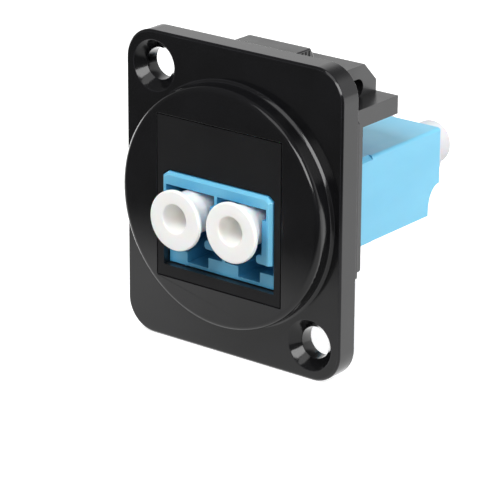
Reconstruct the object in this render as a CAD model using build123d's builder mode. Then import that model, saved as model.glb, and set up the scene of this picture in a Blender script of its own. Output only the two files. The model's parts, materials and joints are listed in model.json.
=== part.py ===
"""Panel feed-through for two fibre lines: a flanged frame, a snap-in module and a duplex adapter.

Own frame, in millimetres: +X to the right as seen from the front, +Z up, +Y to the rear.
The origin is the middle of the frame's mounting face, which lies on the panel.
"""
import os

from build123d import *

os.makedirs("parts", exist_ok=True)

# Panel frame
flange_width = 26.0
flange_height = 31.0
flange_thickness = 2.4
flange_corner = 3.2
flange_edge = 0.2
disc_margin = 1.0
disc_height = 2.0
disc_edge_round = 0.6
disc_foot = 0.25
hole_inset = 3.5
fixing_hole = 3.2
countersink_rim = 5.1
countersink_angle = 90
panel_cutout = 24.0
cutout_clearance = 0.2
sleeve_wall = 1.3
sleeve_length = 6.0

# Snap-in module
module_wall = 0.735
module_floor = 1.15
module_height = 16.2
module_seam = 0.1
bezel_thickness = 1.6
module_side_reach = 2.4
module_rear_chamfer = 0.15
slab_thickness = 1.85
slab_step = 0.3
slab_step_setback = 0.3
slab_overhang = 5.7
foot_height = 0.7
foot_thickness = 0.7
foot_width = 10.0
foot_setback = 1.4

# Spring latch on top of the module
latch_width = 9.6
latch_nose_width = 6.6
latch_height = 3.1
latch_arm = 1.3
latch_root = 2.15
latch_chamfer = 1.95
latch_nose_reach = 1.3
latch_taper_start = 2.5
latch_taper_length = 5.5
catch_height = 0.6
lip_thickness = 0.6
latch_clearance = 0.15
lever_height = 3.0
lever_front = 2.5
lever_depth = 2.8
lever_front_width = 7.5
lever_rear_width = 6.6
lever_corner = 0.8
lever_edge = 0.6
grip_count = 4
grip_pitch = 0.36
grip_depth = 0.1

# Duplex adapter
adapter_proud = 0.4
adapter_height = 9.55
adapter_clearance = 0.1
shoulder_run = 0.65
shoulder_drop = 0.5
rear_lift = 0.7
spigot_length = 1.4
rear_round = 0.35
belt_lead = 0.3
front_setback = 1.2
rear_setback = 1.85
rear_cut_height = 3.05
rear_cut_run = 1.15
port_pitch = 6.25
port_axis_drop = 3.55
port_partition = 0.39
port_side_wall = 0.56
belt_side_wall = 0.445
rear_side_wall = 0.395
port_web_depth = 12.1
roof_thickness = 1.25
floor_thickness = 1.4
key_notch_width = 2.6
key_notch_floor = 0.35
rail_width = 0.55
rail_drop = 1.15
rail_setback = 0.06
rail_lift = 1.35
mouth_depth = 8.5
core_half_height = 2.9
hook_reach = 1.2
hook_height = 0.9
hook_depth = 1.5
wedge_height = 0.35
wedge_length = 2.4
wedge_width = 4.0
wedge_setback = 4.5
web_thickness = 0.8
web_bore_clearance = 0.3

# Ferrule guides inside the adapter
ferrule = 1.25
split_sleeve_wall = 0.18
split_sleeve_length = 6.8
split_sleeve_slot = 0.35
sleeve_fit = 0.04
holder_tube_wall = 0.405
holder_lip_clearance = 0.075
holder_tube_setback = 6.4
holder_plate = 1.0
holder_inset = 0.75
holder_roof = 0.85
holder_floor = 0.6
spigot_clearance = 0.05

# Dust caps
cap_rim_space = 0.25
cap_rim_thickness = 0.5
cap_rim_edge = 0.15
cap_rim_drop = 0.2
cap_stem_play = 0.23
cap_wall = 0.75
cap_bore_depth = 3.0
cap_tail_chamfer = 0.3
cap_fit = 0.08
cap_socket_space = 0.45
front_cap_tail_space = 0.95
left_cap_gap = 1.85
right_cap_gap = 1.2
rear_cap_end_step = 0.1
rear_cap_end_length = 2.6
rear_cap_end_edge = 0.3
rear_cap_collar_space = 0.45
rear_cap_collar_thickness = 0.8
rear_cap_tail_space = 2.7
rear_cap_gap = 0.2

# Sizes and places that follow from the sizes above
disc_diameter = flange_width - 2 * disc_margin
hole_span_x = flange_width - 2 * hole_inset
hole_span_z = flange_height - 2 * hole_inset
port_width = port_pitch - port_partition
adapter_width = port_pitch + port_width + 2 * port_side_wall
belt_width = port_pitch + port_width + 2 * belt_side_wall
rear_width = port_pitch + port_width + 2 * rear_side_wall
rear_height = adapter_height - rear_lift
adapter_length = 2 * (port_web_depth + web_thickness + holder_plate)
module_width = adapter_width + 2 * (adapter_clearance + module_wall)
holder_width = adapter_width - 2 * holder_inset
holder_height = rear_height - holder_roof - holder_floor
key_notch_depth = floor_thickness - key_notch_floor
sleeve_outer = ferrule + 2 * split_sleeve_wall
holder_tube = sleeve_outer + 2 * (sleeve_fit + holder_tube_wall)
holder_lip_bore = ferrule + 2 * holder_lip_clearance
holder_reach = port_web_depth + web_thickness - holder_tube_setback
cap_rim = port_pitch - cap_rim_space
cap_stem = port_width - 2 * (rail_width + cap_stem_play)
cap_bore = cap_stem - 2 * cap_wall
front_cap_depth = port_web_depth - front_cap_tail_space
front_cap_length = front_cap_depth + cap_rim_thickness
front_cap_socket = front_cap_depth - holder_tube_setback + cap_socket_space
rear_cap_tail_length = port_web_depth - rear_cap_tail_space
rear_cap_socket = rear_cap_tail_length - holder_tube_setback + cap_socket_space
rear_cap_collar = port_pitch - rear_cap_collar_space
rear_cap_end = cap_stem + 2 * rear_cap_end_step
disc_front = -flange_thickness - disc_height
window_width = module_width + 2 * module_seam
window_height = module_height + 2 * module_seam
module_top = module_height / 2
module_side_rear = sleeve_length + module_side_reach
slab_rear = module_side_rear + slab_overhang
slab_top = module_top + slab_step
slab_front = sleeve_length + slab_step_setback
latch_top = slab_top + latch_height
lever_rear = lever_front + lever_depth
adapter_front = disc_front - adapter_proud
adapter_rear = adapter_front + adapter_length
adapter_middle = (adapter_front + adapter_rear) / 2
adapter_bottom = -module_top + module_floor + adapter_clearance
adapter_top = adapter_bottom + adapter_height
joint_line = adapter_middle + holder_plate + spigot_length
rear_bottom = adapter_top - rear_height
port_axis = adapter_top - port_axis_drop
port_roof = adapter_top - roof_thickness
port_floor = adapter_bottom + floor_thickness
rail_top = port_roof - rail_drop
rail_foot = port_floor + rail_lift
cavity_width = holder_width + 2 * spigot_clearance
cavity_height = holder_height + 2 * spigot_clearance
cavity_middle = adapter_top - holder_roof - holder_height / 2
left_port = Location((-port_pitch / 2, 0, port_axis))
right_port = Location((port_pitch / 2, 0, port_axis))


def depth_plane(y):
    """A plane at depth y that faces forwards; its own x and y run along the object's X and Z."""
    return Plane.XZ.offset(-y)


# The frame: flange, raised disc, rear guide sleeve and the window that takes the module.
with BuildPart() as panel_frame:
    with BuildSketch(depth_plane(0)):
        RectangleRounded(flange_width, flange_height, flange_corner)
    extrude(amount=flange_thickness)
    front_face = panel_frame.faces().sort_by(Axis.Y)[0]
    chamfer(front_face.edges(), flange_edge)
    with BuildSketch(depth_plane(-flange_thickness)):
        Circle(disc_diameter / 2)
    extrude(amount=disc_height)
    disc_face = panel_frame.faces().sort_by(Axis.Y)[0]
    fillet(disc_face.edges(), disc_edge_round)
    foot_edge = panel_frame.edges().filter_by(GeomType.CIRCLE).filter_by(
        lambda edge: abs(edge.radius - disc_diameter / 2) < disc_foot
        and abs(edge.center().Y + flange_thickness) < disc_foot
    )
    chamfer(foot_edge, disc_foot)
    # The guide sleeve keeps within the panel's round cut-out.
    with BuildSketch(depth_plane(0)):
        Rectangle(window_width + 2 * sleeve_wall, window_height + 2 * sleeve_wall)
        Circle(panel_cutout / 2 - cutout_clearance, mode=Mode.INTERSECT)
    extrude(amount=-sleeve_length)
    # The window goes right through.
    with BuildSketch(depth_plane(disc_front)):
        Rectangle(window_width, window_height)
    extrude(amount=disc_front - sleeve_length, mode=Mode.SUBTRACT)
    # The guide sleeve is open above for the latch arm.
    with BuildSketch(depth_plane(0)):
        with Locations((0, module_top + latch_height)):
            Rectangle(latch_width + 4 * latch_clearance, 2 * latch_height + 2 * latch_clearance)
    extrude(amount=-sleeve_length, mode=Mode.SUBTRACT)
    # A pocket behind the flange takes the latch's nose; its deeper part leaves a lip for the catch.
    pocket_width = latch_nose_width + 4 * latch_clearance
    pocket_top = latch_top + 2 * latch_clearance
    pocket_front = -latch_nose_reach - 2 * latch_clearance
    with BuildSketch(depth_plane(pocket_front)):
        with Locations((0, pocket_top / 2)):
            Rectangle(pocket_width, pocket_top)
    extrude(amount=pocket_front, mode=Mode.SUBTRACT)
    catch_groove_top = pocket_top + catch_height
    with BuildSketch(depth_plane(pocket_front)):
        with Locations((0, catch_groove_top / 2)):
            Rectangle(pocket_width, catch_groove_top)
    extrude(amount=pocket_front + lip_thickness, mode=Mode.SUBTRACT)
    # The groove below the window takes the module's fixed foot.
    groove_bottom = module_top + foot_height + latch_clearance
    with BuildSketch(depth_plane(-foot_setback - latch_clearance)):
        with Locations((0, -groove_bottom / 2)):
            Rectangle(foot_width + 2 * latch_clearance, groove_bottom)
    extrude(amount=-foot_thickness - 2 * latch_clearance, mode=Mode.SUBTRACT)
    with Locations(depth_plane(-flange_thickness)):
        with Locations((-hole_span_x / 2, hole_span_z / 2), (hole_span_x / 2, -hole_span_z / 2)):
            CounterSinkHole(
                fixing_hole / 2,
                countersink_rim / 2,
                depth=flange_thickness,
                counter_sink_angle=countersink_angle,
            )

# The latch: an arm bent forwards over the module, with a catch at its nose.
with BuildPart() as latch:
    arm_underside = latch_top - latch_arm
    slot_end = slab_rear - latch_root
    slot_radius = (arm_underside - slab_top) / 2
    catch_back = -lip_thickness - latch_clearance
    with BuildSketch(Plane.YZ):
        with BuildLine():
            Polyline(
                (slot_end - slot_radius, slab_top),
                (slot_end - slot_radius, module_top),
                (slab_rear, module_top),
                (slab_rear, latch_top - latch_chamfer),
                (slab_rear - latch_chamfer, latch_top),
                (catch_back, latch_top),
                (catch_back, latch_top + catch_height),
                (-latch_nose_reach + latch_clearance, latch_top + catch_height),
                (-latch_nose_reach, latch_top),
                (-latch_nose_reach, arm_underside),
                (slot_end - slot_radius, arm_underside),
            )
            ThreePointArc(
                (slot_end - slot_radius, arm_underside),
                (slot_end, slab_top + slot_radius),
                (slot_end - slot_radius, slab_top),
            )
        make_face()
    extrude(amount=latch_width / 2, both=True)
    # In plan the arm narrows towards its nose, so that it passes the panel's cut-out.
    with BuildSketch(Plane.XY):
        with BuildLine():
            plan = Polyline(
                (0, -latch_nose_reach),
                (latch_nose_width / 2, -latch_nose_reach),
                (latch_nose_width / 2, latch_taper_start),
                (latch_width / 2, latch_taper_start + latch_taper_length),
                (latch_width / 2, slab_rear),
                (0, slab_rear),
            )
            mirror(plan, about=Plane.YZ)
        make_face()
    extrude(amount=2 * latch_top, mode=Mode.INTERSECT)

# The finger lever: narrower to the rear, with rounded rear corners and grip grooves on its flanks.
with BuildPart() as lever:
    with BuildSketch(Plane.XY.offset(latch_top)):
        with BuildLine():
            lever_side = Polyline(
                (0, lever_front),
                (lever_front_width / 2, lever_front),
                (lever_rear_width / 2, lever_rear),
                (0, lever_rear),
            )
            mirror(lever_side, about=Plane.YZ)
        make_face()
    extrude(amount=lever_height)
    fillet(lever.edges().filter_by(Axis.Z).group_by(Axis.Y)[-1], lever_corner)
    chamfer(lever.faces().sort_by(Axis.Z)[-1].edges().sort_by(Axis.Y)[-1], lever_edge)
    grip_x = (lever_front_width + lever_rear_width) / 4
    grip_places = [
        (side * grip_x, lever_rear - lever_corner - step * grip_pitch)
        for side in (-1, 1)
        for step in range(grip_count)
    ]
    with BuildSketch(Plane.XY.offset(latch_top)):
        with Locations(*grip_places):
            Rectangle(2 * grip_depth, grip_pitch / 2)
    extrude(amount=lever_height, mode=Mode.SUBTRACT)

# The module: bezel plate, side and floor walls, roof slab, latch and foot, moulded as one.
with BuildPart() as keystone_module:
    with BuildSketch(depth_plane(disc_front)):
        Rectangle(module_width, module_height)
    extrude(amount=disc_front - module_side_rear)
    rear_face = keystone_module.faces().sort_by(Axis.Y)[-1]
    chamfer(rear_face.edges().sort_by(Axis.Z)[0], module_rear_chamfer)
    with BuildSketch(depth_plane(slab_front)):
        with Locations((0, slab_top - slab_thickness / 2)):
            Rectangle(module_width, slab_thickness)
    extrude(amount=slab_front - slab_rear)
    # The hollow behind the bezel, above and around the adapter.
    hollow_top = slab_top - slab_thickness
    hollow_bottom = adapter_bottom - adapter_clearance
    hollow_width = adapter_width + 2 * adapter_clearance
    with BuildSketch(depth_plane(disc_front + bezel_thickness)):
        with Locations((0, (hollow_top + hollow_bottom) / 2)):
            Rectangle(hollow_width, hollow_top - hollow_bottom)
    extrude(amount=disc_front - module_side_rear, mode=Mode.SUBTRACT)
    # The opening in the bezel has chamfered upper corners like the adapter's.
    opening_top = adapter_top + adapter_clearance
    with BuildSketch(depth_plane(disc_front)):
        with BuildLine():
            opening_side = Polyline(
                (0, hollow_bottom),
                (hollow_width / 2, hollow_bottom),
                (hollow_width / 2, opening_top - shoulder_drop),
                (hollow_width / 2 - shoulder_run, opening_top),
                (0, opening_top),
            )
            mirror(opening_side, about=Plane.YZ)
        make_face()
    extrude(amount=-bezel_thickness, mode=Mode.SUBTRACT)
    # Windows in the side walls take the adapter's snap wedges.
    with BuildSketch(depth_plane(disc_front + wedge_setback - adapter_clearance)):
        with Locations((0, port_axis)):
            Rectangle(module_width, wedge_width + 2 * adapter_clearance)
    extrude(amount=-wedge_length - 2 * adapter_clearance, mode=Mode.SUBTRACT)
    with BuildSketch(depth_plane(-foot_setback)):
        with Locations((0, -module_top - foot_height / 2)):
            Rectangle(foot_width, foot_height)
    extrude(amount=-foot_thickness)
    add(latch.part)
    add(lever.part)

# The space of both ports, with its mouth at depth zero and running to the rear.
with BuildPart() as port_space:
    port_places = [(-port_pitch / 2, 0), (port_pitch / 2, 0)]
    with BuildSketch(depth_plane(0)):
        with Locations(*port_places):
            with Locations((0, (port_roof + port_floor) / 2)):
                Rectangle(port_width, port_roof - port_floor)
    extrude(amount=-mouth_depth)
    # Guide rails stand on both side walls of each port.
    with BuildSketch(depth_plane(rail_setback)):
        with Locations(*port_places):
            with Locations(
                (-port_width / 2 + rail_width / 2, (rail_top + rail_foot) / 2),
                (port_width / 2 - rail_width / 2, (rail_top + rail_foot) / 2),
            ):
                Rectangle(rail_width, rail_top - rail_foot)
    extrude(amount=-mouth_depth, mode=Mode.SUBTRACT)
    # Rounded hooks at the feet of the rails hold a plug's latch.
    with BuildSketch(depth_plane(rail_setback)):
        with Locations(*port_places):
            with Locations(
                (-port_width / 2 + hook_reach / 2, rail_foot + hook_height / 2),
                (port_width / 2 - hook_reach / 2, rail_foot + hook_height / 2),
            ):
                Rectangle(hook_reach, hook_height)
    extrude(amount=-hook_depth, mode=Mode.SUBTRACT)
    hook_ends = port_space.edges().filter_by(Axis.Y).filter_by(
        lambda edge: abs(edge.length - hook_depth) < rail_width / 2
        and abs(abs(abs(edge.center().X) - port_pitch / 2) - port_width / 2 + hook_reach) < rail_width / 2
    )
    fillet(hook_ends, hook_height / 2 - rail_width / 4)
    # Further in, only the core between the rails goes on.
    core_bottom = port_axis - core_half_height
    with BuildSketch(depth_plane(mouth_depth)):
        with Locations(*port_places):
            with Locations((0, (port_roof + core_bottom) / 2)):
                Rectangle(port_width - 2 * rail_width, port_roof - core_bottom)
    extrude(amount=mouth_depth - port_web_depth)
    # The guide tubes come through bores in the web.
    with BuildSketch(depth_plane(port_web_depth)):
        with Locations(*port_places):
            with Locations((0, port_axis)):
                Circle(holder_tube / 2 + web_bore_clearance)
    extrude(amount=-web_thickness)

# The adapter's front shell: chamfered shoulders, two ports and a lower edge that is set back.
with BuildPart() as adapter_front_shell:
    with BuildSketch(depth_plane(adapter_front)):
        with BuildLine():
            shell_side = Polyline(
                (0, adapter_bottom),
                (adapter_width / 2, adapter_bottom),
                (adapter_width / 2, adapter_top - shoulder_drop),
                (adapter_width / 2 - shoulder_run, adapter_top),
                (0, adapter_top),
            )
            mirror(shell_side, about=Plane.YZ)
        make_face()
    extrude(amount=adapter_front - joint_line)
    # Snap wedges on both sides hold the shell in the module.
    with BuildSketch(Plane.XY.offset(port_axis - wedge_width / 2)):
        with BuildLine():
            wedge_side = Polyline(
                (0, disc_front + wedge_setback),
                (adapter_width / 2 + wedge_height, disc_front + wedge_setback),
                (adapter_width / 2, disc_front + wedge_setback + wedge_length),
                (0, disc_front + wedge_setback + wedge_length),
            )
            mirror(wedge_side, about=Plane.YZ)
        make_face()
    extrude(amount=wedge_width)
    add(port_space.part.moved(Location((0, adapter_front, 0))), mode=Mode.SUBTRACT)
    with BuildSketch(depth_plane(adapter_front)):
        with Locations(*port_places):
            with Locations((0, port_floor - key_notch_depth / 2)):
                Rectangle(key_notch_width, key_notch_depth)
    extrude(amount=-mouth_depth, mode=Mode.SUBTRACT)
    with BuildSketch(depth_plane(adapter_front)):
        with Locations((0, (rail_foot + adapter_bottom) / 2)):
            Rectangle(adapter_width, rail_foot - adapter_bottom)
    extrude(amount=-front_setback, mode=Mode.SUBTRACT)
    # Behind the module the shell narrows to the rear shell's outline.
    belt_front = module_side_rear - belt_lead
    with BuildSketch(depth_plane(belt_front)):
        with Locations((0, (adapter_top + adapter_bottom) / 2)):
            Rectangle(adapter_width, adapter_height)
        with Locations((0, (adapter_top + rear_bottom) / 2)):
            Rectangle(belt_width, rear_height, mode=Mode.SUBTRACT)
    extrude(amount=belt_front - joint_line, mode=Mode.SUBTRACT)
    # The cavity behind the web takes the guide plates and the rear shell's spigot.
    with BuildSketch(depth_plane(adapter_middle - holder_plate)):
        with Locations((0, cavity_middle)):
            Rectangle(cavity_width, cavity_height)
    extrude(amount=adapter_middle - holder_plate - joint_line, mode=Mode.SUBTRACT)

# The adapter's rear shell, with a spigot that sits in the front shell.
rear_port_space = mirror(port_space.part, about=Plane.XZ)
with BuildPart() as adapter_rear_shell:
    with BuildSketch(depth_plane(joint_line)):
        with Locations((0, (adapter_top + rear_bottom) / 2)):
            Rectangle(rear_width, rear_height)
    extrude(amount=joint_line - adapter_rear)
    fillet(adapter_rear_shell.edges().filter_by(Axis.Y).group_by(Axis.Z)[-1], rear_round)
    with BuildSketch(depth_plane(joint_line)):
        with Locations((0, cavity_middle)):
            Rectangle(holder_width, holder_height)
    extrude(amount=joint_line - adapter_middle - holder_plate)
    add(rear_port_space.moved(Location((0, adapter_rear, 0))), mode=Mode.SUBTRACT)
    # Below the ports the end is cut back in a hollow curve.
    cut_top = adapter_top - rear_height + rear_cut_height
    with BuildSketch(Plane.YZ):
        with BuildLine():
            Spline(
                (adapter_rear, cut_top),
                (adapter_rear - rear_cut_run, cut_top - rear_cut_height / 6),
                (adapter_rear - rear_setback, rear_bottom),
                tangents=((-1, 0), (0, -1)),
            )
            Polyline(
                (adapter_rear - rear_setback, rear_bottom),
                (adapter_rear, rear_bottom),
                (adapter_rear, cut_top),
            )
        make_face()
    extrude(amount=rear_width / 2, both=True, mode=Mode.SUBTRACT)

# One guide plate with its two tubes; the plate's inner face is at depth zero, tubes to the front.
with BuildPart() as holder:
    with BuildSketch(depth_plane(0)):
        with Locations((0, cavity_middle)):
            Rectangle(holder_width, holder_height)
    extrude(amount=holder_plate)
    with BuildSketch(depth_plane(0)):
        with Locations(*port_places):
            with Locations((0, port_axis)):
                Circle(holder_tube / 2)
    extrude(amount=holder_plate + holder_reach)
    with BuildSketch(depth_plane(0)):
        with Locations(*port_places):
            with Locations((0, port_axis)):
                Circle(sleeve_outer / 2 + sleeve_fit)
    extrude(amount=split_sleeve_length / 2 + sleeve_fit, mode=Mode.SUBTRACT)
    with BuildSketch(depth_plane(0)):
        with Locations(*port_places):
            with Locations((0, port_axis)):
                Circle(holder_lip_bore / 2)
    extrude(amount=holder_plate + holder_reach, mode=Mode.SUBTRACT)

with BuildPart() as sleeve_holder_front:
    with Locations((0, adapter_middle, 0)):
        add(holder.part)

rear_holder = mirror(holder.part, about=Plane.XZ)
with BuildPart() as sleeve_holder_rear:
    with Locations((0, adapter_middle, 0)):
        add(rear_holder)

# A split alignment sleeve: a springy tube with one slit along it.
with BuildPart() as split_sleeve:
    with BuildSketch(depth_plane(adapter_middle)):
        Circle(sleeve_outer / 2)
        Circle(ferrule / 2, mode=Mode.SUBTRACT)
        with Locations((0, sleeve_outer / 2)):
            Rectangle(split_sleeve_slot, sleeve_outer, mode=Mode.SUBTRACT)
    extrude(amount=split_sleeve_length / 2, both=True)

with BuildPart() as split_sleeve_left:
    with Locations(left_port):
        add(split_sleeve.part)

with BuildPart() as split_sleeve_right:
    with Locations(right_port):
        add(split_sleeve.part)

# A front dust cap: stem, blind bore in front, a socket over the guide tube and a thin rim.
with BuildPart() as front_cap:
    with BuildSketch(Plane.YZ):
        with BuildLine():
            Polyline(
                (cap_bore_depth, 0),
                (cap_bore_depth, cap_bore / 2),
                (0, cap_bore / 2),
                (0, cap_stem / 2),
                (front_cap_length - cap_tail_chamfer, cap_stem / 2),
                (front_cap_length, cap_stem / 2 - cap_tail_chamfer),
                (front_cap_length, holder_tube / 2 + cap_fit),
                (front_cap_length - front_cap_socket, holder_tube / 2 + cap_fit),
                (front_cap_length - front_cap_socket, 0),
                (cap_bore_depth, 0),
            )
        make_face()
    revolve(axis=Axis.Y)
    # The rim hangs a little below the stem's axis.
    with BuildSketch(depth_plane(0)):
        with Locations((0, -cap_rim_drop)):
            Circle(cap_rim / 2)
        Circle((cap_bore + cap_stem) / 4, mode=Mode.SUBTRACT)
    extrude(amount=-cap_rim_thickness)
    rim_edges = front_cap.edges().filter_by(GeomType.CIRCLE).filter_by(
        lambda edge: abs(edge.radius - cap_rim / 2) < cap_rim_edge
    )
    chamfer(rim_edges, cap_rim_edge)

with BuildPart() as front_dust_cap_left:
    with Locations(left_port):
        with Locations((0, adapter_front - left_cap_gap - cap_rim_thickness, 0)):
            add(front_cap.part)

with BuildPart() as front_dust_cap_right:
    with Locations(right_port):
        with Locations((0, adapter_front - right_cap_gap - cap_rim_thickness, 0)):
            add(front_cap.part)

# A rear dust cap: a plain end, a thin collar against the shell, and the same stem.
with BuildPart() as rear_cap:
    rear_cap_outer = rear_cap_collar_thickness + rear_cap_end_length
    with BuildSketch(Plane.YZ):
        with BuildLine():
            Polyline(
                (-rear_cap_tail_length, holder_tube / 2 + cap_fit),
                (-rear_cap_tail_length, cap_stem / 2 - cap_tail_chamfer),
                (-rear_cap_tail_length + cap_tail_chamfer, cap_stem / 2),
                (0, cap_stem / 2),
                (0, rear_cap_collar / 2),
                (rear_cap_collar_thickness, rear_cap_collar / 2),
                (rear_cap_collar_thickness, rear_cap_end / 2),
                (rear_cap_outer - rear_cap_end_edge, rear_cap_end / 2),
                (rear_cap_outer, rear_cap_end / 2 - rear_cap_end_edge),
                (rear_cap_outer, 0),
                (-rear_cap_tail_length + rear_cap_socket, 0),
                (-rear_cap_tail_length + rear_cap_socket, holder_tube / 2 + cap_fit),
                (-rear_cap_tail_length, holder_tube / 2 + cap_fit),
            )
        make_face()
    revolve(axis=Axis.Y)

with BuildPart() as rear_dust_cap_left:
    with Locations(left_port):
        with Locations((0, adapter_rear + rear_cap_gap, 0)):
            add(rear_cap.part)

with BuildPart() as rear_dust_cap_right:
    with Locations(right_port):
        with Locations((0, adapter_rear + rear_cap_gap, 0)):
            add(rear_cap.part)

panel_frame.part.label = "panel_frame"
keystone_module.part.label = "keystone_module"
adapter_front_shell.part.label = "adapter_front_shell"
adapter_rear_shell.part.label = "adapter_rear_shell"
sleeve_holder_front.part.label = "sleeve_holder_front"
sleeve_holder_rear.part.label = "sleeve_holder_rear"
split_sleeve_left.part.label = "split_sleeve_left"
split_sleeve_right.part.label = "split_sleeve_right"
front_dust_cap_left.part.label = "front_dust_cap_left"
front_dust_cap_right.part.label = "front_dust_cap_right"
rear_dust_cap_left.part.label = "rear_dust_cap_left"
rear_dust_cap_right.part.label = "rear_dust_cap_right"

export_step(panel_frame.part, "parts/panel_frame.step")
export_step(keystone_module.part, "parts/keystone_module.step")
export_step(adapter_front_shell.part, "parts/adapter_front_shell.step")
export_step(adapter_rear_shell.part, "parts/adapter_rear_shell.step")
export_step(sleeve_holder_front.part, "parts/sleeve_holder_front.step")
export_step(sleeve_holder_rear.part, "parts/sleeve_holder_rear.step")
export_step(split_sleeve_left.part, "parts/split_sleeve_left.step")
export_step(split_sleeve_right.part, "parts/split_sleeve_right.step")
export_step(front_dust_cap_left.part, "parts/front_dust_cap_left.step")
export_step(front_dust_cap_right.part, "parts/front_dust_cap_right.step")
export_step(rear_dust_cap_left.part, "parts/rear_dust_cap_left.step")
export_step(rear_dust_cap_right.part, "parts/rear_dust_cap_right.step")
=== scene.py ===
"""Looks of a panel feed-through for two fibre lines.

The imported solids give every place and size. Here each moulding gets its rounded edges,
its surface grain and its finish, the dust caps are turned afresh with soft rims, and a
plain studio lights them. Sizes in the classes are in millimetres and angles in degrees;
the meshes are in metres.
"""

import json
import logging
import math
from dataclasses import dataclass, field
from enum import Enum, IntEnum

import bmesh
import bpy
from mathutils import Matrix, Vector

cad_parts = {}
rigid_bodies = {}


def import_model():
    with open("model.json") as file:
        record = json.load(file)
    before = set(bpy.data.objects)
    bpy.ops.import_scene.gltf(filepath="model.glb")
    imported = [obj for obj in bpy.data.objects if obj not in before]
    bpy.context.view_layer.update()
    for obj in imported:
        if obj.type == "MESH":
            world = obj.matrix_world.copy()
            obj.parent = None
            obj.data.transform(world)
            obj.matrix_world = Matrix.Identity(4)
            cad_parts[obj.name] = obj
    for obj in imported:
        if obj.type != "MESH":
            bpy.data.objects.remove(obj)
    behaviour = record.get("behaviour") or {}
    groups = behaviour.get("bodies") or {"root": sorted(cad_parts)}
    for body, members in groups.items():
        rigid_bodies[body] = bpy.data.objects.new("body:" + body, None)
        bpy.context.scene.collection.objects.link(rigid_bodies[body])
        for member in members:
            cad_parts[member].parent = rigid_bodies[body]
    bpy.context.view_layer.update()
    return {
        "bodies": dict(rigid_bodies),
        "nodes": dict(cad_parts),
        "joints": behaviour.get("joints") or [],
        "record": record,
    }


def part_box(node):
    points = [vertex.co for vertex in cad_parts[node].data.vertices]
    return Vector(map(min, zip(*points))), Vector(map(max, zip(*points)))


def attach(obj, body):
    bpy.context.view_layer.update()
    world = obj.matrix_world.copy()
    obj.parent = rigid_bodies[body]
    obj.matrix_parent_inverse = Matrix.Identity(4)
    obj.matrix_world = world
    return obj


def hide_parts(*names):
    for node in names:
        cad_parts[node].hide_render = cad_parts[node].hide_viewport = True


MM = 0.001
LOG = logging.getLogger("feed_through")

# Colours as they look on screen, 0 to 255.
Colour = tuple[int, int, int]

# Edges flatter than this stay as they are, and this many faces cross a rounding.
SHARPEST = 35.0
ROUNDING_FACES = 3

# Steeper edges than these stay sharp: beside a rounding, between flat faces, on turned pieces.
ROUNDING_ANGLE = 50.0
FACE_ANGLE = 20.0
TURNED_ANGLE = 40.0

# Loose triangles closer than the first are welded; faces flatter than the second are joined.
WELD = 0.002
FLAT = 0.6

# A face looks sideways below the first share of its normal, and forwards above the second.
SIDEWAYS = 0.5
FORWARDS = 0.9

# Two places closer than this are the same.
TOUCH = 0.01

# Faces round a turned piece.
TURN_STEPS = 96

# A quarter turn.
QUARTER = 90


class Body(Enum):
    """The CAD bodies that pieces ride on."""

    HOUSING = "housing"
    FRONT_LEFT = "front_left_cap"
    FRONT_RIGHT = "front_right_cap"
    REAR_LEFT = "rear_left_cap"
    REAR_RIGHT = "rear_right_cap"


class Slot(Enum):
    """The record's material slots, one given with each piece."""

    FRAME = "frame_black"
    MODULE = "module_black"
    FRONT_SHELL = "adapter_blue"
    REAR_SHELL = "adapter_blue_rear"
    HOLDER = "holder_white"
    SLEEVE = "sleeve_ceramic"
    CAP = "cap_white"


class Ray(Enum):
    """Light Path outputs that see the plain pale background."""

    CAMERA = "Is Camera Ray"
    GLOSSY = "Is Glossy Ray"


class FinishPlace(IntEnum):
    """Places in a moulding's list of finishes."""

    FACES = 0
    EDGES = 1
    FRONT = 2


class MixSocket(IntEnum):
    """A colour Mix node's three inputs and its result."""

    SHARE = 0
    FIRST = 6
    SECOND = 7
    RESULT = 2


def linear(red: int, green: int, blue: int) -> tuple[float, float, float, float]:
    """Turn a colour as it looks on screen into scene-linear values.

    Args:
        red: Red, 0 to 255.
        green: Green, 0 to 255.
        blue: Blue, 0 to 255.

    Returns:
        The linear colour with full opacity.
    """

    def channel(value: int) -> float:
        """Undo the screen's transfer curve for one channel."""
        share = value / 255
        return share / 12.92 if share <= 0.04045 else ((share + 0.055) / 1.055) ** 2.4

    return channel(red), channel(green), channel(blue), 1.0


def grey(share: float) -> tuple[float, float, float, float]:
    """Make a scene-linear grey, from 0 for black to 1 for white."""
    return share, share, share, 1.0


def direction(azimuth: float, elevation: float) -> Vector:
    """Find the way from the object to a place around it.

    Args:
        azimuth: Degrees round the object from the front.
        elevation: Degrees above the horizon.

    Returns:
        The unit vector.
    """
    turn, lift = math.radians(azimuth), math.radians(elevation)
    return Vector((math.sin(turn) * math.cos(lift), -math.cos(turn) * math.cos(lift), math.sin(lift)))


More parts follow.
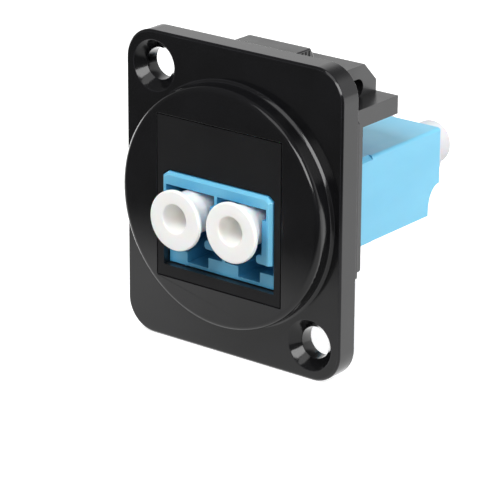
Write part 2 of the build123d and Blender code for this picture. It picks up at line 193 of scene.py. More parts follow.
class NodeSheet:
    """The node tree of a material or a world, with short calls to add and join its nodes."""

    def __init__(self, owner: bpy.types.Material | bpy.types.World) -> None:
        """Empty the owner's tree.

        Args:
            owner: The material or world.
        """
        owner.use_nodes = True
        self.owner = owner
        self.tree = owner.node_tree
        self.tree.nodes.clear()

    def add(self, kind: str, **inputs: object) -> bpy.types.Node:
        """Add a node and set some of its inputs.

        Args:
            kind: Blender's name for the node type.
            **inputs: Values by input name, with underscores for spaces.

        Returns:
            The new node.
        """
        node = self.tree.nodes.new(kind)
        for name, value in inputs.items():
            node.inputs[name.replace("_", " ")].default_value = value
        return node

    def join(self, source: bpy.types.NodeSocket, target: bpy.types.NodeSocket) -> None:
        """Link one node's output to another's input."""
        self.tree.links.new(source, target)

    def axes(self, output: str) -> bpy.types.Node:
        """Add a texture coordinate, split into X, Y and Z.

        Args:
            output: Name of the coordinate.

        Returns:
            The node that holds the three.
        """
        place = self.add("ShaderNodeTexCoord")
        split = self.add("ShaderNodeSeparateXYZ")
        self.join(place.outputs[output], split.inputs[0])
        return split

    def noise(
        self, size: float, detail: float = 2.0, stretch: tuple[float, float, float] = (1, 1, 1)
    ) -> bpy.types.Node:
        """Add noise that sticks to the object.

        Args:
            size: Size of the pattern in millimetres.
            detail: How many finer layers it has.
            stretch: Factors on the pattern's density along X, Y and Z.

        Returns:
            The noise node.
        """
        place = self.add("ShaderNodeTexCoord")
        mapping = self.add("ShaderNodeMapping", Scale=stretch)
        pattern = self.add("ShaderNodeTexNoise", Scale=1 / (size * MM), Detail=detail)
        self.join(place.outputs["Object"], mapping.inputs["Vector"])
        self.join(mapping.outputs["Vector"], pattern.inputs["Vector"])
        return pattern

    def spread(self, pattern: bpy.types.Node, low: float, high: float) -> bpy.types.Node:
        """Map a noise node's value onto a range.

        Args:
            pattern: The noise node.
            low: Value where the noise is low.
            high: Value where it is high.

        Returns:
            The node that holds the result.
        """
        node = self.add("ShaderNodeMapRange", From_Min=0.3, From_Max=0.7, To_Min=low, To_Max=high)
        self.join(pattern.outputs["Fac"], node.inputs["Value"])
        return node

    def blend(
        self, share: bpy.types.NodeSocket, first: Colour, second: Colour | bpy.types.NodeSocket
    ) -> bpy.types.NodeSocket:
        """Mix two colours.

        Args:
            share: Share of the second colour.
            first: The first colour, 0 to 255.
            second: The second colour, likewise, or the socket that gives it.

        Returns:
            The mixed colour.
        """
        mix = self.add("ShaderNodeMix")
        mix.data_type = "RGBA"
        self.join(share, mix.inputs[MixSocket.SHARE])
        mix.inputs[MixSocket.FIRST].default_value = linear(*first)
        if isinstance(second, tuple):
            mix.inputs[MixSocket.SECOND].default_value = linear(*second)
        else:
            self.join(second, mix.inputs[MixSocket.SECOND])
        return mix.outputs[MixSocket.RESULT]


@dataclass(frozen=True)
class MouldedPlastic:
    """A moulded plastic: body colour with faint mottle, uneven gloss and a fine skin.

    Attributes:
        name: The material's name.
        colour: Body colour.
        shade: The slightly different colour that it drifts to.
        roughness: Middle value of the surface roughness.
        unevenness: How far the roughness strays from it.
        grain: Size of the skin's grain.
        relief: Depth of the grain.
        flow: Size of the slow colour drift.
        patches: How many patches of uneven gloss fit across it.
        scatter: Share of light that travels below the surface.
        depth: How far that light travels.
        ior: Refractive index of the surface.
        painted_shade: Painted shade, the darker colour deep in hollows, or none where the colour stays the
            same.
        reach: How far a recess's walls stand apart at most, for the painted shade.
        full_shade_below: Openness below which a recess takes the full painted shade.
        no_shade_above: Openness above which no shade is painted and the colour is as in the open.
    """

    name: str
    colour: Colour
    shade: Colour
    roughness: float
    unevenness: float
    grain: float
    relief: float
    flow: float
    patches: int = 3
    scatter: float = 0.0
    depth: float = 0.8
    ior: float = 1.5
    # Painted shade: a darker colour mixed in where ambient occlusion finds hollows.
    painted_shade: Colour | None = None
    reach: float = 5.0
    full_shade_below: float = 0.3
    no_shade_above: float = 0.95

    def with_painted_shade(self, sheet: NodeSheet, colour: bpy.types.NodeSocket) -> bpy.types.NodeSocket:
        """Paint shade: let a colour turn to the darker shade colour where the walls around leave little
        open.

        Args:
            sheet: The material's nodes.
            colour: The colour in the open.

        Returns:
            The colour to use.
        """
        openness = sheet.add("ShaderNodeAmbientOcclusion", Distance=self.reach * MM)
        openness.samples = 8
        share = sheet.add("ShaderNodeMapRange", From_Min=self.full_shade_below, From_Max=self.no_shade_above)
        sheet.join(openness.outputs["AO"], share.inputs["Value"])
        return sheet.blend(share.outputs[0], self.painted_shade, colour)

    def build(self) -> bpy.types.Material:
        """Make the material's nodes.

        Returns:
            The finished material.
        """
        sheet = NodeSheet(bpy.data.materials.new(self.name))
        surface = sheet.add(
            "ShaderNodeBsdfPrincipled",
            IOR=self.ior,
            Subsurface_Weight=self.scatter,
            Subsurface_Scale=self.depth * MM,
        )
        drift = sheet.spread(sheet.noise(self.flow, detail=3.0, stretch=(1.0, 0.4, 1.0)), 0.0, 1.0)
        colour = sheet.blend(drift.outputs[0], self.colour, self.shade)
        # Paint shade into hollows where a shade colour is given.
        if self.painted_shade:
            colour = self.with_painted_shade(sheet, colour)
        sheet.join(colour, surface.inputs["Base Color"])
        patches = sheet.noise(self.flow / self.patches, detail=4.0)
        gloss = sheet.spread(patches, self.roughness - self.unevenness, self.roughness + self.unevenness)
        sheet.join(gloss.outputs[0], surface.inputs["Roughness"])
        skin = sheet.add("ShaderNodeBump", Strength=0.6, Distance=self.relief * MM)
        sheet.join(sheet.noise(self.grain).outputs["Fac"], skin.inputs["Height"])
        sheet.join(skin.outputs["Normal"], surface.inputs["Normal"])
        output = sheet.add("ShaderNodeOutputMaterial")
        sheet.join(surface.outputs["BSDF"], output.inputs["Surface"])
        return sheet.owner


@dataclass(frozen=True)
class Palette:
    """Every finish of the object."""

    frame: MouldedPlastic = MouldedPlastic(
        "frame_gloss_black", (14, 14, 15), (20, 20, 22),
        roughness=0.13, unevenness=0.03, grain=0.35, relief=0.002, flow=5.0,
    )
    # Painted highlight: the rounded edges take a lighter black than the faces.
    frame_edge_highlight: MouldedPlastic = MouldedPlastic(
        "frame_edge_highlight_black", (22, 22, 24), (34, 34, 37),
        roughness=0.22, unevenness=0.05, grain=0.35, relief=0.002, flow=3.0,
    )
    module: MouldedPlastic = MouldedPlastic(
        "module_satin_black", (25, 25, 26), (29, 29, 30),
        roughness=0.3, unevenness=0.03, grain=0.16, relief=0.004, flow=6.0, ior=1.6,
    )
    # Painted highlight: the rounded edges take a lighter black than the faces.
    module_edge_highlight: MouldedPlastic = MouldedPlastic(
        "module_edge_highlight_black", (28, 28, 30), (36, 36, 39),
        roughness=0.4, unevenness=0.05, grain=0.16, relief=0.004, flow=3.0, ior=1.4,
    )
    module_front: MouldedPlastic = MouldedPlastic(
        "module_front_black", (25, 25, 26), (29, 29, 30),
        roughness=0.5, unevenness=0.04, grain=0.16, relief=0.004, flow=6.0, ior=1.28,
    )
    shell: MouldedPlastic = MouldedPlastic(
        "shell_light_blue", (115, 193, 225), (123, 201, 232),
        roughness=0.34, unevenness=0.05, grain=0.3, relief=0.003, flow=5.0,
        # Painted shade: the darker blue that recesses take.
        scatter=0.1, depth=0.5, painted_shade=(58, 144, 192),
    )
    # Painted highlight: the rounded edges take a lighter blue than the faces.
    shell_edge_highlight: MouldedPlastic = MouldedPlastic(
        "shell_edge_highlight_blue", (122, 198, 230), (132, 206, 236),
        roughness=0.32, unevenness=0.05, grain=0.3, relief=0.003, flow=4.0,
        # Painted shade: the darker blue that recesses take.
        scatter=0.1, depth=0.5, painted_shade=(64, 150, 198),
    )
    cap: MouldedPlastic = MouldedPlastic(
        "cap_warm_white", (252, 250, 246), (254, 253, 251),
        roughness=0.46, unevenness=0.06, grain=0.5, relief=0.006, flow=3.0, scatter=0.3, depth=0.7,
    )
    # Painted shade: the rear caps are the front caps' white, made greyer and cooler for the shade they sit
    # in.
    shaded_rear_cap: MouldedPlastic = MouldedPlastic(
        "rear_cap_painted_shade_white", (208, 208, 214), (217, 217, 221),
        roughness=0.46, unevenness=0.06, grain=0.5, relief=0.006, flow=3.0, scatter=0.3, depth=0.7,
    )
    holder: MouldedPlastic = MouldedPlastic(
        "holder_natural", (214, 214, 206), (224, 224, 218),
        roughness=0.4, unevenness=0.05, grain=0.3, relief=0.003, flow=2.0, scatter=0.2, depth=0.5,
    )
    ceramic: MouldedPlastic = MouldedPlastic(
        "sleeve_ceramic_white", (236, 234, 226), (244, 242, 236),
        roughness=0.16, unevenness=0.03, grain=0.1, relief=0.001, flow=1.0, ior=2.1,
    )


def smooth(mesh: bpy.types.Mesh) -> None:
    """Shade a turned mesh smooth except across its sharp edges."""
    mesh.polygons.foreach_set("use_smooth", [True] * len(mesh.polygons))
    mesh.set_sharp_from_angle(angle=math.radians(TURNED_ANGLE))


def meshed(form: bmesh.types.BMesh, name: str) -> bpy.types.Mesh:
    """Turn a form into a mesh, and free the form.

    Args:
        form: The form.
        name: The mesh's name.

    Returns:
        The mesh.
    """
    mesh = bpy.data.meshes.new(name)
    form.to_mesh(mesh)
    form.free()
    return mesh


def linked(name: str, data: bpy.types.ID) -> bpy.types.Object:
    """Make an object and put it into the scene.

    Args:
        name: The object's name.
        data: Its mesh, light or camera.

    Returns:
        The new object.
    """
    thing = bpy.data.objects.new(name, data)
    bpy.context.collection.objects.link(thing)
    return thing


def place(mesh: bpy.types.Mesh, name: str, body: Body, slot: Slot) -> bpy.types.Object:
    """Put a mesh into the scene as a piece of one body.

    Args:
        mesh: The mesh, already at its place.
        name: The piece's name.
        body: The body that it rides on.
        slot: The record's slot of its finish; not used.

    Returns:
        The new object.
    """
    piece = linked(name, mesh)
    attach(piece, body.value)
    LOG.info("%s: %d faces on %s", name, len(mesh.polygons), body.value)
    return piece


def baked(piece: bpy.types.Object) -> bpy.types.Mesh:
    """Turn an object with live modifiers into a plain mesh and remove the object.

    Args:
        piece: The object.

    Returns:
        The plain mesh, with the object's name.
    """
    graph = bpy.context.evaluated_depsgraph_get()
    mesh = bpy.data.meshes.new_from_object(piece.evaluated_get(graph), depsgraph=graph)
    mesh.name = piece.name
    bpy.data.objects.remove(piece, do_unlink=True)
    return mesh


def add_rounding(piece: bpy.types.Object, width: float) -> None:
    """Give a piece a modifier that rounds its sharp edges, with the edge finish on the rounding.

    Args:
        piece: The object, with its face finish first and its edge finish second.
        width: Width of the rounding.
    """
    rounding = piece.modifiers.new("rounded edges", "BEVEL")
    rounding.width = width * MM
    rounding.segments = ROUNDING_FACES
    rounding.limit_method = "ANGLE"
    rounding.angle_limit = math.radians(SHARPEST)
    rounding.use_clamp_overlap = True
    rounding.material = FinishPlace.EDGES
    rounding.miter_outer = "MITER_ARC"
    for face in piece.data.polygons:
        face.use_smooth = True
        face.material_index = FinishPlace.FACES


def evenly_shaded(mesh: bpy.types.Mesh, name: str) -> bpy.types.Mesh:
    """Shade flat faces flat and roundings round: each corner's normal leans to the larger faces.

    Args:
        mesh: The mesh, with its roundings in the edge finish.
        name: The new mesh's name.

    Returns:
        The shaded mesh.
    """
    form = bmesh.new()
    form.from_mesh(mesh)
    for edge in form.edges:
        rounding = any(face.material_index == FinishPlace.EDGES for face in edge.link_faces)
        limit = math.radians(ROUNDING_ANGLE if rounding else FACE_ANGLE)
        edge.smooth = len(edge.link_faces) == 2 and edge.calc_face_angle(0.0) < limit
    form.to_mesh(mesh)
    form.free()
    holder = linked(name, mesh)
    weighing = holder.modifiers.new("even shading", "WEIGHTED_NORMAL")
    weighing.mode = "FACE_AREA"
    weighing.keep_sharp = True
    return baked(holder)


@dataclass
class Moulding:
    """A moulded piece: a CAD node's form with its sharp edges rounded as a mould leaves them.

    Attributes:
        node: The CAD node that it stands for.
        name: The piece's name.
        slot: The record's slot of its finish.
        finish: Finish of the faces.
        edge_finish: Finish of the rounded edges; on the frame, module and shells a lighter colour that
            paints a highlight.
        edge: Width of the rounding.
        front_finish: Finish of the faces that look forwards, where it differs.
        front_chamfer: Width of the chamfer around the front face.
        cut_above: Height above which the form is left to another piece.
    """

    node: str
    name: str
    slot: Slot
    finish: bpy.types.Material
    edge_finish: bpy.types.Material
    edge: float
    front_finish: bpy.types.Material | None = None
    front_chamfer: float = 0.0
    cut_above: float = math.inf

    def merged(self, source: bpy.types.Object) -> bpy.types.Mesh:
        """Copy the node's loose triangles and join them into clean faces.

        Args:
            source: The CAD node's object.

        Returns:
            The merged mesh.
        """
        form = bmesh.new()
        form.from_mesh(source.data)
        bmesh.ops.remove_doubles(form, verts=form.verts, dist=WELD * MM)
        if self.cut_above < math.inf:
            whole = [*form.verts, *form.edges, *form.faces]
            height = Vector((0, 0, self.cut_above)) * MM
            bmesh.ops.bisect_plane(form, geom=whole, plane_co=height, plane_no=(0, 0, 1), clear_outer=True)
            rim = [edge for edge in form.edges if edge.is_boundary]
            bmesh.ops.contextual_create(form, geom=rim)
        bmesh.ops.dissolve_limit(form, angle_limit=math.radians(FLAT), verts=form.verts, edges=form.edges)
        if self.front_chamfer > 0:
            edges = self.front_outline(form)
            bmesh.ops.bevel(
                form, geom=edges, offset=self.front_chamfer * MM, segments=1, profile=0.5, affect="EDGES"
            )
        return meshed(form, self.name)

    def front_outline(self, form: bmesh.types.BMesh) -> list[bmesh.types.BMEdge]:
        """Find the edges of the front face that bound it outwards, to the sides and above.

        Args:
            form: The clean form.

        Returns:
            Those edges.
        """
        front = min(vert.co.y for vert in form.verts) + TOUCH * MM
        corners = [vert.co for vert in form.verts if vert.co.y < front]
        outline = []
        for edge in form.edges:
            sides = [face for face in edge.link_faces if abs(face.normal.y) < SIDEWAYS]
            if len(sides) != 1 or max(vert.co.y for vert in edge.verts) > front:
                continue
            outward = sides[0].normal
            reach = max(outward.dot(corner - edge.verts[0].co) for corner in corners)
            if reach < TOUCH * MM and outward.z > -SIDEWAYS:
                outline.append(edge)
        return outline

    def build(self, source: bpy.types.Object) -> bpy.types.Object:
        """Make the piece and let it stand for its node.

        Args:
            source: The CAD node's object.

        Returns:
            The finished piece.
        """
        rough = linked(self.name, self.merged(source))
        finishes = rough.data.materials
        finishes.clear()
        finishes.append(self.finish)
        finishes.append(self.edge_finish)
        add_rounding(rough, self.edge)
        if self.front_finish:
            finishes.append(self.front_finish)
            for face in rough.data.polygons:
                if face.normal.y < -FORWARDS:
                    face.material_index = FinishPlace.FRONT
        mesh = evenly_shaded(baked(rough), self.name)
        piece = place(mesh, self.name, Body.HOUSING, self.slot)
        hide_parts(self.node)
        return piece


@dataclass(frozen=True)
class RibRow:
    """A row of upright grip ribs, laid out by geometry nodes.

    Attributes:
        count: Number of ribs.
        pitch: Distance between ribs.
        radius: Radius of a rib.
        height: Height of a rib.
        sides: Faces round a rib.
    """

    count: int = 4
    pitch: float = 0.52
    radius: float = 0.17
    height: float = 2.6
    sides: int = 16

    def tree(self) -> bpy.types.GeometryNodeTree:
        """Make the node tree: a line of points with an upright bar on each.

        Returns:
            The tree, with inputs for count, pitch, radius, height, sides and finish.
        """
        tree = bpy.data.node_groups.new("rib_row", "GeometryNodeTree")
        sheet = tree.interface
        for name, kind in (
            ("Count", "NodeSocketInt"),
            ("Pitch", "NodeSocketFloat"),
            ("Radius", "NodeSocketFloat"),
            ("Height", "NodeSocketFloat"),
            ("Sides", "NodeSocketInt"),
            ("Finish", "NodeSocketMaterial"),
        ):
            sheet.new_socket(name, in_out="INPUT", socket_type=kind)
        sheet.new_socket("Geometry", in_out="OUTPUT", socket_type="NodeSocketGeometry")
        given = tree.nodes.new("NodeGroupInput")
        offset = tree.nodes.new("ShaderNodeCombineXYZ")
        row = tree.nodes.new("GeometryNodeMeshLine")
        bar = tree.nodes.new("GeometryNodeMeshCylinder")
        copies = tree.nodes.new("GeometryNodeInstanceOnPoints")
        real = tree.nodes.new("GeometryNodeRealizeInstances")
        dressed = tree.nodes.new("GeometryNodeSetMaterial")
        result = tree.nodes.new("NodeGroupOutput")
        for source, target in (
            (given.outputs["Count"], row.inputs["Count"]),
            (given.outputs["Pitch"], offset.inputs["Y"]),
            (offset.outputs[0], row.inputs["Offset"]),
            (given.outputs["Radius"], bar.inputs["Radius"]),
            (given.outputs["Height"], bar.inputs["Depth"]),
            (given.outputs["Sides"], bar.inputs["Vertices"]),
            (row.outputs[0], copies.inputs["Points"]),
            (bar.outputs["Mesh"], copies.inputs["Instance"]),
            (copies.outputs[0], real.inputs[0]),
            (real.outputs[0], dressed.inputs["Geometry"]),
            (given.outputs["Finish"], dressed.inputs["Material"]),
            (dressed.outputs[0], result.inputs[0]),
        ):
            tree.links.new(source, target)
        return tree

    def build(self, name: str, start: Vector, finish: bpy.types.Material) -> bpy.types.Object:
        """Lay out the row and turn it into a plain mesh.

        Args:
            name: The piece's name.
            start: Middle of the first rib; the row runs to the rear from there.
            finish: The finish.

        Returns:
            The finished piece, on the housing.
        """
        tree = self.tree()
        holder = linked(name, bpy.data.meshes.new(name))
        nodes = holder.modifiers.new("rib row", "NODES")
        nodes.node_group = tree
        values = {
            "Count": self.count,
            "Pitch": self.pitch * MM,
            "Radius": self.radius * MM,
            "Height": self.height * MM,
            "Sides": self.sides,
            "Finish": finish,
        }
        for socket in tree.interface.items_tree:
            if socket.in_out == "INPUT":
                nodes[socket.identifier] = values[socket.name]
        mesh = baked(holder)
        mesh.transform(Matrix.Translation(start * MM))
        smooth(mesh)
        return place(mesh, name, Body.HOUSING, Slot.MODULE)


@dataclass
class FingerLever:
    """The finger lever on the module's latch: a block with rounded rear corners and ribbed flanks.

    Attributes:
        width: Width between the flanks.
        front: Depth of its front face.
        rear: Depth of its rear face.
        base: Height where it stands on the latch.
        top: Height of its top face.
        corner: Radius of the rear corners.
        corner_steps: Faces round each of them.
        nose: Height of the leaning part at the top of the rear face.
        lean: How far that part leans forwards.
        edge: Width of the rounding on its edges.
        ribs: The row of ribs on each flank.
        rib_margin: How far the ribs end below the top face.
        rib_sink: How far they sink into the flank, as a share of their radius.
    """

    width: float = 7.5
    front: float = 2.5
    rear: float = 5.5
    base: float = 11.4
    top: float = 14.5
    corner: float = 0.3
    corner_steps: int = 8
    nose: float = 0.8
    lean: float = 0.5
    edge: float = 0.12
    ribs: RibRow = RibRow()
    rib_margin: float = 0.2
    rib_sink: float = 1 / 3

    def plan(self) -> list[tuple[float, float]]:
        """List the plan's corners.

        Returns:
            The corners, anticlockwise from the front left.
        """
        half = self.width / 2
        corners = [(-half, self.front), (half, self.front)]
        for side, start in ((1, 0), (-1, QUARTER)):
            for step in range(self.corner_steps + 1):
                turn = math.radians(start + QUARTER * step / self.corner_steps)
                across = side * (half - self.corner) + self.corner * math.cos(turn)
                along = self.rear - self.corner + self.corner * math.sin(turn)
                corners.append((across, along))
        return corners

    def block(self) -> bpy.types.Mesh:
        """Raise the block from its plan, first upright and then with its rear leaning.

        Returns:
            The mesh.
        """
        form = bmesh.new()
        face = form.faces.new([form.verts.new(Vector((x, y, self.base)) * MM) for x, y in self.plan()])
        middle = (self.front + self.rear) / 2 * MM
        for rise, lean in ((self.top - self.nose - self.base, 0.0), (self.nose, self.lean)):
            risen = bmesh.ops.extrude_face_region(form, geom=[face])
            face = next(item for item in risen["geom"] if isinstance(item, bmesh.types.BMFace))
            for vert in face.verts:
                vert.co.z += rise * MM
                vert.co.y -= lean * MM * (vert.co.y > middle)
        bmesh.ops.recalc_face_normals(form, faces=form.faces)
        return meshed(form, "lever_block")

    def build(self, finish: bpy.types.Material, edge_finish: bpy.types.Material) -> None:
        """Make the block and its ribs.

        Args:
            finish: Finish of the faces.
            edge_finish: Finish of the rounded edges, a lighter black that paints a highlight.
        """
        rough = linked("lever_block", self.block())
        rough.data.materials.append(finish)
        rough.data.materials.append(edge_finish)
        add_rounding(rough, self.edge)
        block = evenly_shaded(baked(rough), "lever_block")
        place(block, "lever_block", Body.HOUSING, Slot.MODULE)
        middle = self.top - self.rib_margin - self.ribs.height / 2
        sink = self.ribs.radius * self.rib_sink
        first = self.rear - self.corner - self.lean - (self.ribs.count - 1) * self.ribs.pitch
        for name, side in (("left_ribs", -1), ("right_ribs", 1)):
            start = Vector((side * (self.width / 2 - sink), first, middle))
            self.ribs.build(name, start, finish)


@dataclass
class Ring:
    """One ring of a turned piece.

    Attributes:
        depth: Place along the axis.
        radius: The ring's radius.
        drop: How far its centre hangs below the axis.
        round: Radius of the rounding at this corner.
    """

    depth: float
    radius: float
    drop: float = 0.0
    round: float = 0.0


def rounded(corners: list[Ring], steps: int = 6) -> list[Ring]:
    """Replace the corners of a profile by arcs.

    Args:
        corners: The profile's corners from one pole to the other.
        steps: Rings along each arc.

    Returns:
        The rings of the rounded profile.
    """
    rings = [corners[0]]
    for before, here, after in zip(corners, corners[1:], corners[2:]):
        if here.round <= 0:
            rings.append(here)
            continue
        point = Vector((here.depth, here.radius))
        back = (Vector((before.depth, before.radius)) - point).normalized()
        ahead = (Vector((after.depth, after.radius)) - point).normalized()
        reach = here.round / math.tan(back.angle(ahead) / 2)
        start, end = point + back * reach, point + ahead * reach
        for step in range(steps + 1):
            share = step / steps
            curve = start * (1 - share) ** 2 + point * (2 * share * (1 - share)) + end * share**2
            rings.append(Ring(curve.x, curve.y, here.drop))
    rings.append(corners[-1])
    return rings


def turned(
    name: str, rings: list[Ring], inward: int, centre: Vector, material: bpy.types.Material
) -> bpy.types.Mesh:
    """Skin a row of rings into a closed turned mesh.

    Args:
        name: The mesh's name.
        rings: Rings from pole to pole; a radius of zero is a pole.
        inward: +1 where depth runs to the rear, -1 where it runs to the front.
        centre: The axis and the place of depth zero.
        material: The finish.

    Returns:
        The mesh, with its faces pointing outwards.
    """
    form = bmesh.new()
    loops: list[list[bmesh.types.BMVert]] = []
    for ring in rings:
        turns = 1 if ring.radius <= 0 else TURN_STEPS
        loop = []
        for turn in range(turns):
            angle = math.tau * turn / TURN_STEPS
            x = centre.x + ring.radius * math.cos(angle)
            y = centre.y + inward * ring.depth
            z = centre.z - ring.drop + ring.radius * math.sin(angle)
            loop.append(form.verts.new(Vector((x, y, z)) * MM))
        loops.append(loop)
    for first, second in zip(loops, loops[1:]):
        for turn in range(TURN_STEPS):
            corners = [
                first[turn % len(first)],
                first[(turn + 1) % len(first)],
                second[(turn + 1) % len(second)],
                second[turn % len(second)],
            ]
            form.faces.new(list(dict.fromkeys(corners)))
    bmesh.ops.recalc_face_normals(form, faces=form.faces)
    mesh = meshed(form, name)
    mesh.materials.append(material)
    smooth(mesh)
    return mesh


@dataclass
class DustCap:
    """What every dust cap shares: a stem in the port, with a socket over the guide tube.

    Attributes:
        stem: Diameter of the stem.
        stem_round: Radius of the rounding at the stem's inner end.
        socket: Diameter of the socket.
        socket_depth: Depth of the socket.
        socket_round: Radius of the rounding at the socket's mouth.
        inward: +1 where the cap enters its port rearwards, -1 where forwards.
    """

    stem: float = 4.3
    stem_round: float = 0.3
    socket: float = 2.66
    socket_depth: float = 5.2
    socket_round: float = 0.1
    inward: int = 1

    def rings(self) -> list[Ring]:
        """List the cap's rings from pole to pole."""
        raise NotImplementedError

    def axis(self, low: Vector, high: Vector) -> Vector:
        """Find the stem's axis and the outer end in the node's box."""
        raise NotImplementedError

    def inner_end(self, depth: float) -> list[Ring]:
        """List the corners from the stem's inner end to the socket's floor.

        Args:
            depth: Place of the inner end along the axis.

        Returns:
            The corners.
        """
        return [
            Ring(depth, self.stem / 2, round=self.stem_round),
            Ring(depth, self.socket / 2, round=self.socket_round),
            Ring(depth - self.socket_depth, self.socket / 2),
            Ring(depth - self.socket_depth, 0),
        ]

    def build(self, node: str, body: Body, material: bpy.types.Material) -> bpy.types.Object:
        """Turn the cap at its node's place.

        Args:
            node: The CAD node that it stands for.
            body: The body that it rides on.
            material: The finish.

        Returns:
            The finished piece.
        """
        low, high = (Vector(corner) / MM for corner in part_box(node))
        mesh = turned(f"{node}_turned", self.rings(), self.inward, self.axis(low, high), material)
        piece = place(mesh, f"{node}_turned", body, Slot.CAP)
        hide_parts(node)
        return piece


@dataclass
class FrontCap(DustCap):
    """A dust cap in a front port, with a thin rim and a blind bore.

    Attributes:
        rim: Diameter of the rim.
        thickness: Thickness of the rim.
        rim_drop: How far the rim's centre hangs below the axis.
        rim_round: Radius of the rounding at the rim's front.
        rim_back_round: The same at its back.
        root_round: The same where the stem meets the rim.
        bore: Diameter of the bore in front.
        bore_depth: Depth of that bore.
        bore_draft: How much narrower the bore's floor is on each side.
        bore_round: Radius of the rounding at its floor.
        mouth_round: The same at its mouth.
        length: Whole length.
    """

    rim: float = 6.0
    thickness: float = 0.5
    rim_drop: float = 0.2
    rim_round: float = 0.2
    rim_back_round: float = 0.15
    root_round: float = 0.2
    bore: float = 2.8
    bore_depth: float = 3.0
    bore_draft: float = 0.05
    bore_round: float = 0.3
    mouth_round: float = 0.18
    length: float = 11.65

    def rings(self) -> list[Ring]:
        """List the cap's rings.

        Returns:
            The rings, from the bore's floor round to the socket's floor.
        """
        return rounded(
            [
                Ring(self.bore_depth, 0),
                Ring(self.bore_depth, self.bore / 2 - self.bore_draft, round=self.bore_round),
                Ring(0, self.bore / 2, round=self.mouth_round),
                Ring(0, self.rim / 2, self.rim_drop, self.rim_round),
                Ring(self.thickness, self.rim / 2, self.rim_drop, self.rim_back_round),
                Ring(self.thickness, self.stem / 2, round=self.root_round),
                *self.inner_end(self.length),
            ]
        )

    def axis(self, low: Vector, high: Vector) -> Vector:
        """Find the stem's axis, above the rim's middle, and the front end."""
        return Vector(((low.x + high.x) / 2, low.y, (low.z + high.z) / 2 + self.rim_drop))


@dataclass
class RearCap(DustCap):
    """A dust cap in a rear port, with a rounded end and a thin collar.

    Attributes:
        end: Diameter of the plain end.
        end_rise: How far the end sits above the stem's axis.
        end_length: Length of the plain end.
        end_round: Radius of the rounding at the end's rim.
        collar: Diameter of the collar.
        collar_thickness: Thickness of the collar.
        collar_round: Radius of the rounding at its rim.
        foot_round: The same where the end and the stem meet it.
        tail: Length of the stem.
    """

    socket_depth: float = 3.6
    inward: int = -1
    end: float = 4.5
    end_rise: float = 0.6
    end_length: float = 2.6
    end_round: float = 0.4
    collar: float = 5.8
    collar_thickness: float = 0.8
    collar_round: float = 0.2
    foot_round: float = 0.12
    tail: float = 9.4

    def rings(self) -> list[Ring]:
        """List the cap's rings.

        Returns:
            The rings, from the end's middle round to the socket's floor.
        """
        collar_inner = self.end_length + self.collar_thickness
        return rounded(
            [
                Ring(0, 0, -self.end_rise),
                Ring(0, self.end / 2, -self.end_rise, self.end_round),
                Ring(self.end_length, self.end / 2, -self.end_rise, self.foot_round),
                Ring(self.end_length, self.collar / 2, round=self.collar_round),
                Ring(collar_inner, self.collar / 2, round=self.collar_round),
                Ring(collar_inner, self.stem / 2, round=self.foot_round),
                *self.inner_end(collar_inner + self.tail),
            ]
        )

    def axis(self, low: Vector, high: Vector) -> Vector:
        """Find the stem's axis and the rear end."""
        return Vector(((low.x + high.x) / 2, high.y, (low.z + high.z) / 2))


@dataclass
class PhotoCamera:
    """The camera, at the photograph's place.

    Attributes:
        azimuth: Degrees round the object from the front.
        elevation: Degrees above the horizon.
        roll: Degrees of tilt about the line of sight.
        pan_right: How far the object's origin lies right of the line of sight.
        pan_up: How far it lies above it.
        distance: Distance to the object.
        lens: Focal length.
        sensor: Width of the sensor.
        nearest: Distance from which it sees.
        aim_depth: Depth of the flange's front face, which the camera was measured from.
    """

    azimuth: float = 38.156
    elevation: float = 20.106
    roll: float = 0.327
    pan_right: float = -1.7806
    pan_up: float = 4.2950
    distance: float = 283.51
    lens: float = 214.74
    sensor: float = 36.0
    nearest: float = 10.0
    aim_depth: float = -2.4

    def build(self) -> bpy.types.Object:
        """Make the camera and use it.

        Returns:
            The camera object.
        """
        turn, tilt = math.radians(self.azimuth), math.radians(self.roll)
        back = direction(self.azimuth, self.elevation)
        level = Vector((math.cos(turn), math.sin(turn), 0))
        upright = back.cross(level)
        right = math.cos(tilt) * level + math.sin(tilt) * upright
        up = -math.sin(tilt) * level + math.cos(tilt) * upright
        spot = back * self.distance - right * self.pan_right - up * self.pan_up
        spot += Vector((0, self.aim_depth, 0))
        data = bpy.data.cameras.new("photo_camera")
        data.lens = self.lens
        data.sensor_width = self.sensor
        data.clip_start = self.nearest * MM
        camera = linked("photo_camera", data)
        turnings = Matrix((right, up, back)).transposed().to_4x4()
        camera.matrix_world = Matrix.Translation(spot * MM) @ turnings
        bpy.context.scene.camera = camera
        return camera


@dataclass(frozen=True)
class SoftBox:
    """A square soft light.

    Attributes:
        name: The light's name.
        azimuth: Degrees round the object from the front.
        elevation: Degrees above the horizon.
        size: Side of the square.
        power: Power in watts.
        distance: Distance to the object.
        mirrored: Whether glossy faces show it.
        matte: Whether it lights matte faces.
    """

    name: str
    azimuth: float
    elevation: float
    size: float
    power: float
    distance: float = 500.0
    mirrored: bool = True
    matte: bool = True

    def build(self) -> None:
        """Place the light and turn it to the object."""
        back = direction(self.azimuth, self.elevation)
        data = bpy.data.lights.new(self.name, "AREA")
        data.size = self.size * MM
        data.energy = self.power
        lamp = linked(self.name, data)
        lamp.visible_glossy = self.mirrored
        lamp.visible_diffuse = self.matte
        lamp.location = back * self.distance * MM
        lamp.rotation_mode = "QUATERNION"
        lamp.rotation_quaternion = (-back).to_track_quat("-Z", "Y")


